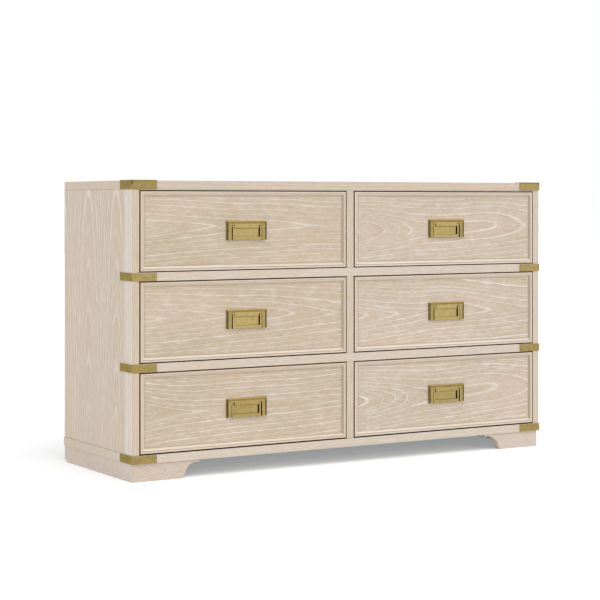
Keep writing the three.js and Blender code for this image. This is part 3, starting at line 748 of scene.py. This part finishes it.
MATCHED = dict(
    depth=((0, 0.24), (0.075, 0.305), (0.15, 0.38), (0.235, 0.455), (0.32, 0.535), (0.5, 0.575),
           (0.6, 0.58), (0.78, 0.6), (0.83, 0.63), (0.97, 0.72), (1, 0.74)),
    sway=((0, 0.43), (0.3, 0.48), (0.5, 0.5), (0.8, 0.6), (1, 0.58)), ring=0.0064, bow=2.0, tips=0.72)
FIGURES = {
    "upper_left": dict(
        depth=((0, 0.44), (0.3, 0.56), (0.4, 0.6), (0.6, 0.635), (0.72, 0.66), (0.83, 0.69), (1, 0.7)),
        sway=((0, 0.60), (0.3, 0.64), (0.6, 0.65), (1, 0.63)), seed=101.0, ring=0.0068, figure=0.62),
    "middle_left": dict(
        depth=((0, 0.6), (0.34, 0.7), (0.65, 0.8), (0.87, 0.9), (1, 0.95)),
        sway=((0, 0.62), (0.5, 0.63), (1, 0.6)), seed=107.0, ring=0.0064, bow=1.45, tips=1.0, figure=0.62),
    "lower_left": dict(
        depth=((0, 0.3), (0.15, 0.46), (0.3, 0.5), (0.7, 0.52), (1, 0.55)),
        sway=((0, 0.5), (0.2, 0.47), (0.55, 0.54), (0.8, 0.56), (1, 0.62)), seed=113.0, ring=0.0068,
        figure=0.78),
    "upper_right": dict(seed=119.0, figure=0.74, **MATCHED),
    "middle_right": dict(
        depth=((0, 0.4), (0.085, 0.46), (0.165, 0.52), (0.4, 0.62), (0.5, 0.63), (0.665, 0.70),
               (0.905, 0.82), (1, 0.86)),
        sway=((0, 0.46), (0.25, 0.47), (0.5, 0.56), (0.75, 0.48), (1, 0.42)), seed=131.0, ring=0.0066,
        figure=0.95),
    "lower_right": dict(seed=119.3, figure=1.02, **MATCHED),
}
PANEL_GROUND = {"left": "#C3B197", "right": "#C8B8A3"}
strip_oak = {}
for column, pale, shade in (("left", "#DBCBB9", "#CEBCA6"), ("right", "#DED0C1", "#D2C2AF")):
    low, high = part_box(f"middle_{column}_drawer_front")
    strip_oak[column] = (
        limed_oak(f"limed_oak_{column}_moulding", "XZY", heart=low.z + 0.4, face=low.y,
                  run=(low.x, high.x), seed=141.0, ring=0.004, ground=pale, late=shade, lime="#ECE4DD",
                  figure=0.5, drift=0.3),
        limed_oak(f"limed_oak_{column}_moulding_upright", "ZXY", heart=low.x + 0.3, face=low.y,
                  run=(0.0, 0.9), seed=147.0, ring=0.004, ground=pale, late=shade, lime="#ECE4DD",
                  figure=0.5, drift=0.3),
    )
# Painted shade: darker oak for the lower quirk, for the upper quirk and fall, and for the right fall, as the
# shade in them.
oak_quirk_shade = limed_oak("painted_shade_oak_quirk", "XZY", heart=0.0, face=0.0, run=(-1.0, 1.0), ring=0.004, seed=151.0,
                  ground="#BCA98F", late="#AD997E", lime="#CAB9A2", figure=0.2, drift=0.0)
oak_right_fall_shade = limed_oak("painted_shade_oak_right_fall", "ZXY", heart=0.0, face=0.0, run=(0.0, 1.0), ring=0.004,
                       seed=157.0, ground="#A89982", late="#998A73", lime="#B4A58F", figure=0.2, drift=0.0)
oak_upper_shade = limed_oak("painted_shade_oak_upper_fall", "XZY", heart=0.0, face=0.0, run=(-1.0, 1.0), ring=0.004,
                        seed=153.0, ground="#CCBAA0", late="#C0AD92", lime="#DBCEBE", figure=0.3, drift=0.0)
# Painted shade: the front's arrises and its walls towards the gaps are dark brown, as the shade in the gaps.
front_arris_gap_shade = limed_oak("painted_shade_oak_front_arris", "XZY", heart=0.0, face=0.0, run=(-1.0, 1.0), ring=0.004,
                       seed=159.0, ground="#7D6030", late="#6D5024", lime="#8D7040", figure=0.2,
                       drift=0.0, sheen=0.0)
front_wall_gap_shade = limed_oak("painted_shade_oak_front_wall", "XZY", heart=0.0, face=0.0, run=(-1.0, 1.0), ring=0.004,
                       seed=163.0, ground="#735E44", late="#624E38", lime="#857157", figure=0.4,
                       drift=0.0, sheen=0.0)

# Planed to fit its opening: how far each column's left and right ends, each row's feet and all the
# tops are moved.
MOVED_ENDS = {"left": (-0.0006, 0.0024), "right": (0.0024, 0.0008)}
MOVED_FEET = {"upper": 0.0001, "middle": 0.0006, "lower": 0.001}
MOVED_TOPS = 0.0005
# The moulding from its edge inwards: how wide each step is, and how far it rises.
MOULDING = ((0.0050, 0.0), (0.0005, -0.0011), (0.0004, 0.0), (0.0006, 0.0011), (0.0012, 0.0),
            (0.0004, -0.0003), (0.0026, -0.0018), (0.0025, -0.0019))
MOULDING_WIDTH = 0.0132
# Where the quirk lies in it, and where the two halves of the fall start.
QUIRK_START, QUIRK_END = 0.0050, 0.0065
FALL_START, LOWER_FALL_START = 0.0081, 0.0107
# The painted shade of the gaps reaches onto the face at both ends and along the top.
END_SHADE_REACH, TOP_SHADE_REACH = 0.0009, 0.0013
# Which of a front's materials a face takes.
PANEL, STRIP, UPRIGHT_STRIP, QUIRK, FALL, IN_GAP_SHADE, DARK_FALL, WALL = range(8)
for name in NAMES:
    row, column = name.split("_")
    node = f"{name}_drawer_front"
    low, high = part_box(node)
    low.x, high.x = low.x + MOVED_ENDS[column][0], high.x + MOVED_ENDS[column][1]
    low.z, high.z = low.z + MOVED_FEET[row], high.z + MOVED_TOPS
    front = start_block(f"{name}_drawer_front_board", low, high)
    pick_faces(front, lambda face: face.normal.y < -0.9)
    for width, rise in MOULDING:
        bpy.ops.mesh.inset(thickness=width, depth=rise, use_boundary=True, use_even_offset=True)
    for place, facing in (((low.x + END_SHADE_REACH, 0, 0), (1, 0, 0)), ((high.x - END_SHADE_REACH, 0, 0), (1, 0, 0)),
                          ((0, 0, high.z - TOP_SHADE_REACH), (0, 0, 1))):
        bpy.ops.mesh.select_all(action="SELECT")
        bpy.ops.mesh.bisect(plane_co=place, plane_no=facing)
    bpy.ops.object.mode_set(mode="OBJECT")
    ease_edges(front, width=0.0005)
    middle_x, middle_z = (low.x + high.x) / 2, (low.z + high.z) / 2
    edge_x, edge_z = (high.x - low.x) / 2, (high.z - low.z) / 2
    for face in front.data.polygons:
        spot, turn = face.center, face.normal
        in_x, in_z = edge_x - abs(spot.x - middle_x), edge_z - abs(spot.z - middle_z)
        inside, upright = min(in_x, in_z), in_x < in_z
        on_eased_edge = inside < 0.0005 and turn.y > -0.8
        # Walls and arrises towards the gaps take the painted gap shade.
        if abs(turn.y) < 0.3:
            face.material_index = WALL
        elif turn.y < 0.0 and (on_eased_edge or in_x < END_SHADE_REACH or spot.z > high.z - TOP_SHADE_REACH):
            face.material_index = IN_GAP_SHADE
        elif turn.y > 0.0:
            face.material_index = PANEL
        elif inside < MOULDING_WIDTH:
            face.material_index = UPRIGHT_STRIP if upright else STRIP
            # The quirk and the upper and right falls take the painted shade.
            if QUIRK_START < inside < QUIRK_END and not upright:
                face.material_index = QUIRK if spot.z < middle_z else FALL
            elif inside > FALL_START and upright and spot.x > middle_x:
                face.material_index = DARK_FALL
            elif inside > LOWER_FALL_START and not upright and spot.z > middle_z:
                face.material_index = FALL
    panel_oak = limed_oak(f"limed_oak_{name}_panel", "XZY", heart=middle_z, face=low.y, run=(low.x, high.x),
                          ground=PANEL_GROUND[column], lime="#F4EFEB", dash=46.0, haze=0.1,
                          edge=((low.x + MOULDING_WIDTH, -1.0, low.z + MOULDING_WIDTH),
                                (high.x - MOULDING_WIDTH, 1.0, high.z - MOULDING_WIDTH)), **FIGURES[name])
    dress(front, node, f"{name}_drawer", "limed_oak", panel_oak, *strip_oak[column], oak_quirk_shade, oak_upper_shade,
          front_arris_gap_shade, oak_right_fall_shade, front_wall_gap_shade)


# Pulls: cast brass plates with a raised rim round three sides and a recess, and a flat U-shaped
# bail on two pins. The rim's flanks and the slits beside the bail are painted dark, as shade and
# shadow, and the rim's top edge, the band, the recess and the bail's front are painted bright as
# highlights.

# Painted shade on the rim's inward-facing flanks.
brass_inner_shade = aged_brass("painted_shade_brass_rim_inner_flank", "#45350E", "#514016", "#33270A", along="Z",
                         rough=0.5)
# Painted shadow for the slits beside the bail's arms and the arms' sides.
brass_slit_shadow = aged_brass("painted_shadow_brass_slit", "#382A10", "#443414", "#2A1F0B", along="Z", rough=0.6)
# Painted highlight: brighter brass on the rim's crest, the band, the recess and the bail's front, weaker on
# the lower pulls.
brass_highlight = aged_brass("painted_highlight_brass", "#B29D65", "#BDA870", "#998350", rough=0.3)
lower_pulls_highlight = aged_brass("painted_highlight_brass_lower_pulls", "#A6925B", "#B19C66", "#8A7444", rough=0.3)
# Where each bail has slipped to along its pins, and where its plate was let in.
SLIPS = {"upper_left": 0.0012, "middle_left": 0.0012, "lower_left": -0.0015,
         "upper_right": -0.0015, "middle_right": 0.0012, "lower_right": -0.0015}
LET_IN = {"left": 0.0005, "right": 0.0018}
# The rim is 3 mm wide where it was cast. Its crest is drawn to 1 mm from the side edges and 2.4 mm
# from the top one, and its inner foot, 1.2 mm deep, to 4.5 and 8 mm: a sloping inner flank.
CAST_RIM = 0.003
RIM_LINES = ((0.0, 0.001, 0.0024), (0.0012, 0.0045, 0.008))
# How far the band's foot is below the plate's top, and how tall the painted shadow line under the foot is.
BAND_HEIGHT, BAND_SHADOW = 0.021, 0.0022
# Where the rim's parts end, from the plate's edge inwards, at its sides and at its top.
SIDE_CREST, SIDE_FLANK = 0.0012, 0.0046
TOP_CREST, TOP_FLANK, TOP_RIM = 0.0025, 0.0082, 0.0125
# Half the width of the band's face, and of the painted highlight that goes past its ends.
BAND_HALF, BAND_HIGHLIGHT_HALF = 0.041, 0.0425
# The painted shadow in the slits beside the bail's arms, from the plate's middle, and on the thin edge
# outside of each.
SLIT_START, SLIT_END = 0.0408, 0.0514
SLIT_EDGE_START, SLIT_EDGE_END = 0.0512, 0.0519
# How deep the face of the band lies, and from what depth on the brass keeps its plain tone.
FACE_DEPTH, PLAIN_DEPTH = 0.0014, 0.0072
# Which of a plate's materials a face takes, where that isn't the first, plain brass.
FLANK, SLIT_SHADOW, SHADE, HIGHLIGHTED, INNER_FLANK = range(1, 6)
for name in NAMES:
    node = f"{name}_pull_plate"
    # The lower pulls take a weaker painted highlight.
    brass_face = lower_pulls_highlight if name.startswith("lower") else brass_highlight
    low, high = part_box(node)
    middle_x, half = (low.x + high.x) / 2, (high.x - low.x) / 2
    plate = copy_solid(node, f"{name}_pull_plate_brass")
    for depth, reach, drop in RIM_LINES:
        pick_vertices(plate, lambda spot: abs(spot.y - low.y - depth) < 0.0002
                      and abs(abs(spot.x - middle_x) - half + CAST_RIM) < 0.0002)
        bpy.ops.transform.resize(
            value=((half - reach) / (half - CAST_RIM), 1,
                   (high.z - low.z - drop) / (high.z - low.z - CAST_RIM)),
            center_override=(middle_x, low.y, low.z))
    # Cuts beside the bail's arms and under the band, where the dark of each slit and shadow ends.
    slip, let_in = SLIPS[name], LET_IN[name.split("_")[1]]
    band_foot = high.z - BAND_HEIGHT
    for place, facing in (((middle_x - SLIT_START + slip, 0, 0), (1, 0, 0)),
                          ((middle_x + SLIT_START + slip, 0, 0), (1, 0, 0)),
                          ((middle_x - SLIT_EDGE_END, 0, 0), (1, 0, 0)),
                          ((middle_x + SLIT_EDGE_END, 0, 0), (1, 0, 0)),
                          ((0, 0, band_foot - BAND_SHADOW), (0, 0, 1)), ((0, 0, band_foot), (0, 0, 1))):
        bpy.ops.mesh.select_all(action="SELECT")
        bpy.ops.mesh.bisect(plane_co=place, plane_no=facing)
    bpy.ops.object.mode_set(mode="OBJECT")
    ease_edges(plate, width=0.0003)
    for face in plate.data.polygons:
        spot, turn = face.center, face.normal
        aside, above = abs(spot.x - middle_x), high.z - spot.z
        on_right, faces_front = spot.x > middle_x, turn.y < -0.5
        on_flank = aside > half - SIDE_FLANK and abs(turn.x) > 0.2
        on_right_crest = on_right and aside > half - SIDE_CREST and faces_front
        under_rim = above > TOP_RIM
        if spot.y > low.y + PLAIN_DEPTH:
            continue
        # The rim's flanks take painted dark reflection, the inward ones a darker one.
        if on_flank or on_right_crest:
            faces_in = turn.x < 0.2 if on_right else turn.x > 0
            face.material_index = INNER_FLANK if faces_in else FLANK
        # Painted highlight on the rim's up-facing crest.
        elif above < TOP_CREST and turn.z > 0.2:
            face.material_index = HIGHLIGHTED
        # Painted shade on the rim's down-facing inner flank.
        elif above < TOP_FLANK and turn.z < -0.1:
            face.material_index = SHADE
        # Painted shadow in the slits and on the strip beside them.
        elif (under_rim and abs(spot.x - slip - middle_x) > SLIT_START and aside < SLIT_END
              and spot.y > low.y + FACE_DEPTH):
            face.material_index = SLIT_SHADOW
        elif (under_rim and SLIT_EDGE_START <= aside < SLIT_EDGE_END and faces_front
              and (on_right or slip < 0)):
            face.material_index = SLIT_SHADOW
        # Painted highlight on the band, and below it on the recess.
        elif under_rim and aside < BAND_HIGHLIGHT_HALF and spot.y < low.y + FACE_DEPTH and faces_front:
            face.material_index = HIGHLIGHTED
        # Painted shadow under the band's foot.
        elif band_foot - BAND_SHADOW < spot.z < band_foot and aside < BAND_HALF:
            face.material_index = SHADE
        elif spot.z < band_foot and aside < BAND_HALF and faces_front:
            face.material_index = HIGHLIGHTED
    slide_along(plate, let_in)
    dress(plate, node, f"{name}_drawer", "aged_brass", brass, brass_flank_shade_and_pins, brass_slit_shadow, brass_shade,
          brass_face, brass_inner_shade)
    node = f"{name}_pull_bail"
    bail = copy_solid(node, f"{name}_pull_bail_brass")
    slide_along(bail, slip + let_in)
    ease_edges(bail, width=0.0003)
    # The arms' sides take the painted slit shadow, the rest the painted highlight.
    for face in bail.data.polygons:
        if abs(face.normal.x) > 0.7:
            face.material_index = 1
    dress(bail, node, f"{name}_bail", "aged_brass", brass_face, brass_slit_shadow)


# Studio: a seamless white floor that keeps the dresser's shadow, a white surround, a strong soft
# light high in front and a weaker one on the left.

def seen_rays(tree):
    """1 for what is seen straight, in the brass or through a clear thing, and 0 for all other light."""
    path = add_node(tree, "ShaderNodeLightPath").outputs
    seen = add_node(tree, "ShaderNodeMath", {0: path["Is Camera Ray"], 1: path["Is Glossy Ray"]},
                    operation="MAXIMUM").outputs[0]
    return add_node(tree, "ShaderNodeMath", {0: seen, 1: path["Is Transmission Ray"]},
                    operation="MAXIMUM").outputs[0]


bpy.ops.object.select_all(action="DESELECT")
bpy.ops.mesh.primitive_plane_add(size=40, location=(0, 0, 0))
floor = bpy.context.object
floor.name = "studio_floor"
paper = bpy.data.materials.new("white_paper_floor")
tree = new_tree(paper)
# What is seen straight or in the brass is lifted to plain white, with the faint cool glow of
# bleached paper, and the dresser's shadow stays.
lit = add_node(tree, "ShaderNodeBsdfDiffuse", {"Color": colour("#F2F2F2")}).outputs[0]
lift = add_node(tree, "ShaderNodeEmission", {"Color": colour("#F4FBFF"), "Strength": 0.288}).outputs[0]
both = add_node(tree, "ShaderNodeAddShader", {0: lit, 1: lift}).outputs[0]
mixed = add_node(tree, "ShaderNodeMixShader", {0: seen_rays(tree), 1: lit, 2: both}).outputs[0]
add_node(tree, "ShaderNodeOutputMaterial", {"Surface": mixed})
floor.data.materials.append(paper)

world = bpy.data.worlds.new("white_surround")
bpy.context.scene.world = world
tree = new_tree(world)
surround = add_node(tree, "ShaderNodeBackground", {"Color": colour("#FFFFFF"), "Strength": 0.6}).outputs[0]
white = add_node(tree, "ShaderNodeBackground", {"Color": colour("#FFFFFF"), "Strength": 1.0}).outputs[0]
mixed = add_node(tree, "ShaderNodeMixShader", {0: seen_rays(tree), 1: surround, 2: white}).outputs[0]
add_node(tree, "ShaderNodeOutputWorld", {"Surface": mixed})


def add_soft_light(name, towards, power, spread):
    """A wide soft light so far away that it lights the whole studio evenly."""
    lamp = bpy.data.lights.new(name, "SUN")
    lamp.energy = power
    lamp.angle = math.radians(spread)
    holder = bpy.data.objects.new(name, lamp)
    bpy.context.scene.collection.objects.link(holder)
    holder.location = towards
    holder.rotation_euler = holder.location.to_track_quat("Z", "Y").to_euler()


add_soft_light("overhead_front_light", (0.6, -2.2, 3.4), 1.25, 50)
add_soft_light("left_fill_light", (-4.0, -2.0, 2.4), 0.5, 60)

# Camera: at table height, looking level, three quarters on from the left.
camera_data = bpy.data.cameras.new("camera")
camera = bpy.data.objects.new("camera", camera_data)
bpy.context.scene.collection.objects.link(camera)
camera.location = (-2.884, -4.742, 0.804)
camera.rotation_euler = (math.radians(90), 0, math.radians(-31.009))
camera_data.lens = 104.475
camera_data.sensor_width = 36
camera_data.shift_y = -0.1645
bpy.context.scene.camera = camera

bpy.context.scene.view_settings.view_transform = "Standard"
